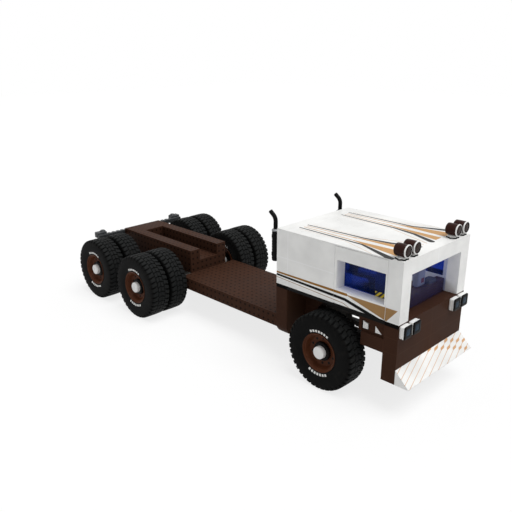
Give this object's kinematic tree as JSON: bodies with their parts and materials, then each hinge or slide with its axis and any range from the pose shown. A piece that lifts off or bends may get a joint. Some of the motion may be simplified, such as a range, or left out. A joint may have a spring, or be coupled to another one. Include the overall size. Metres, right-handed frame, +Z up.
{
  "type": "three-axle cab-over truck",
  "caption": "Block-styled white and brown cab-over truck with twin rear wheels, a flat deck, a low open rear frame, roof lamps and exhaust stacks.",
  "frame": {"origin": "centre of the footprint on the ground", "axes": "+Z up, -Y forward along the truck, +X to the truck's left"},
  "size_m": [3.402, 8.4624, 2.8157],
  "materials": {
    "white_paint": "gloss",
    "brown_paint": "satin",
    "frame_steel": "satin",
    "cast_metal": "matte",
    "blue_glass": "clear tinted",
    "seat_cloth": "matte",
    "dark_plastic": "matte",
    "lamp_lens": "clear",
    "grey_metal": "satin",
    "stack_metal": "satin",
    "tyre_rubber": "matte",
    "rim_paint": "satin"
  },
  "bodies": {
    "chassis": {"ladder_frame": "frame_steel", "deck": "brown_paint", "rear_base": "brown_paint", "rear_rails": "brown_paint", "light_bar": "grey_metal", "front_axle": "cast_metal", "rear_axles": "cast_metal", "leaf_springs": "frame_steel", "engine": "cast_metal", "drive_shafts": "frame_steel", "nose_panel": "brown_paint", "wedge_bumper": "white_paint", "side_bands": "brown_paint", "side_steps": "brown_paint", "rear_block": "brown_paint", "cab_floor": "brown_paint", "front_frame": "white_paint", "corner_panels": "white_paint", "rear_wall": "white_paint", "roof": "white_paint", "windshield": "blue_glass", "seats": "seat_cloth", "dashboard": "dark_plastic", "steering_wheel": "dark_plastic", "lamps": "brown_paint", "lamp_lenses": "lamp_lens", "exhaust_stacks": "stack_metal"},
    "door_left": {"door_left": "white_paint", "door_glass_left": "blue_glass"},
    "knuckle_left": {"knuckle_left": "cast_metal"},
    "wheel_front_left": {"tyre_front_left": "tyre_rubber", "rim_front_left": "rim_paint"},
    "door_right": {"door_right": "white_paint", "door_glass_right": "blue_glass"},
    "knuckle_right": {"knuckle_right": "cast_metal"},
    "wheel_front_right": {"tyre_front_right": "tyre_rubber", "rim_front_right": "rim_paint"},
    "wheels_mid_left": {"tyres_mid_left": "tyre_rubber", "rim_mid_left": "rim_paint"},
    "wheels_mid_right": {"tyres_mid_right": "tyre_rubber", "rim_mid_right": "rim_paint"},
    "wheels_rear_left": {"tyres_rear_left": "tyre_rubber", "rim_rear_left": "rim_paint"},
    "wheels_rear_right": {"tyres_rear_right": "tyre_rubber", "rim_rear_right": "rim_paint"}
  },
  "joints": [
    {"name": "door_left_hinge", "type": "hinge", "parent": "chassis", "child": "door_left", "pos_m": [0.985, -3.71025, 2.05], "axis": [0, 0, -1], "range_deg": [0, 70]},
    {"name": "steer_left", "type": "hinge", "parent": "chassis", "child": "knuckle_left", "pos_m": [0.944, -2.63875, 0.6735], "axis": [0, 0, 1], "range_deg": [-25, 25]},
    {"name": "spin_front_left", "type": "hinge", "parent": "knuckle_left", "child": "wheel_front_left", "pos_m": [0.944, -2.63875, 0.6735], "axis": [1, 0, 0], "continuous": true},
    {"name": "door_right_hinge", "type": "hinge", "parent": "chassis", "child": "door_right", "pos_m": [-0.985, -3.71025, 2.05], "axis": [0, 0, 1], "range_deg": [0, 70]},
    {"name": "steer_right", "type": "hinge", "parent": "chassis", "child": "knuckle_right", "pos_m": [-0.944, -2.63875, 0.6735], "axis": [0, 0, 1], "range_deg": [-25, 25]},
    {"name": "spin_front_right", "type": "hinge", "parent": "knuckle_right", "child": "wheel_front_right", "pos_m": [-0.944, -2.63875, 0.6735], "axis": [1, 0, 0], "continuous": true},
    {"name": "spin_mid_left", "type": "hinge", "parent": "chassis", "child": "wheels_mid_left", "pos_m": [1.24, 1.94975, 0.6735], "axis": [1, 0, 0], "continuous": true},
    {"name": "spin_mid_right", "type": "hinge", "parent": "chassis", "child": "wheels_mid_right", "pos_m": [-1.24, 1.94975, 0.6735], "axis": [1, 0, 0], "continuous": true},
    {"name": "spin_rear_left", "type": "hinge", "parent": "chassis", "child": "wheels_rear_left", "pos_m": [1.24, 3.50675, 0.6735], "axis": [1, 0, 0], "continuous": true},
    {"name": "spin_rear_right", "type": "hinge", "parent": "chassis", "child": "wheels_rear_right", "pos_m": [-1.24, 3.50675, 0.6735], "axis": [1, 0, 0], "continuous": true}
  ],
  "couplings": [
    {"joint": "steer_right", "follows": "steer_left", "ratio": 1}
  ]
}
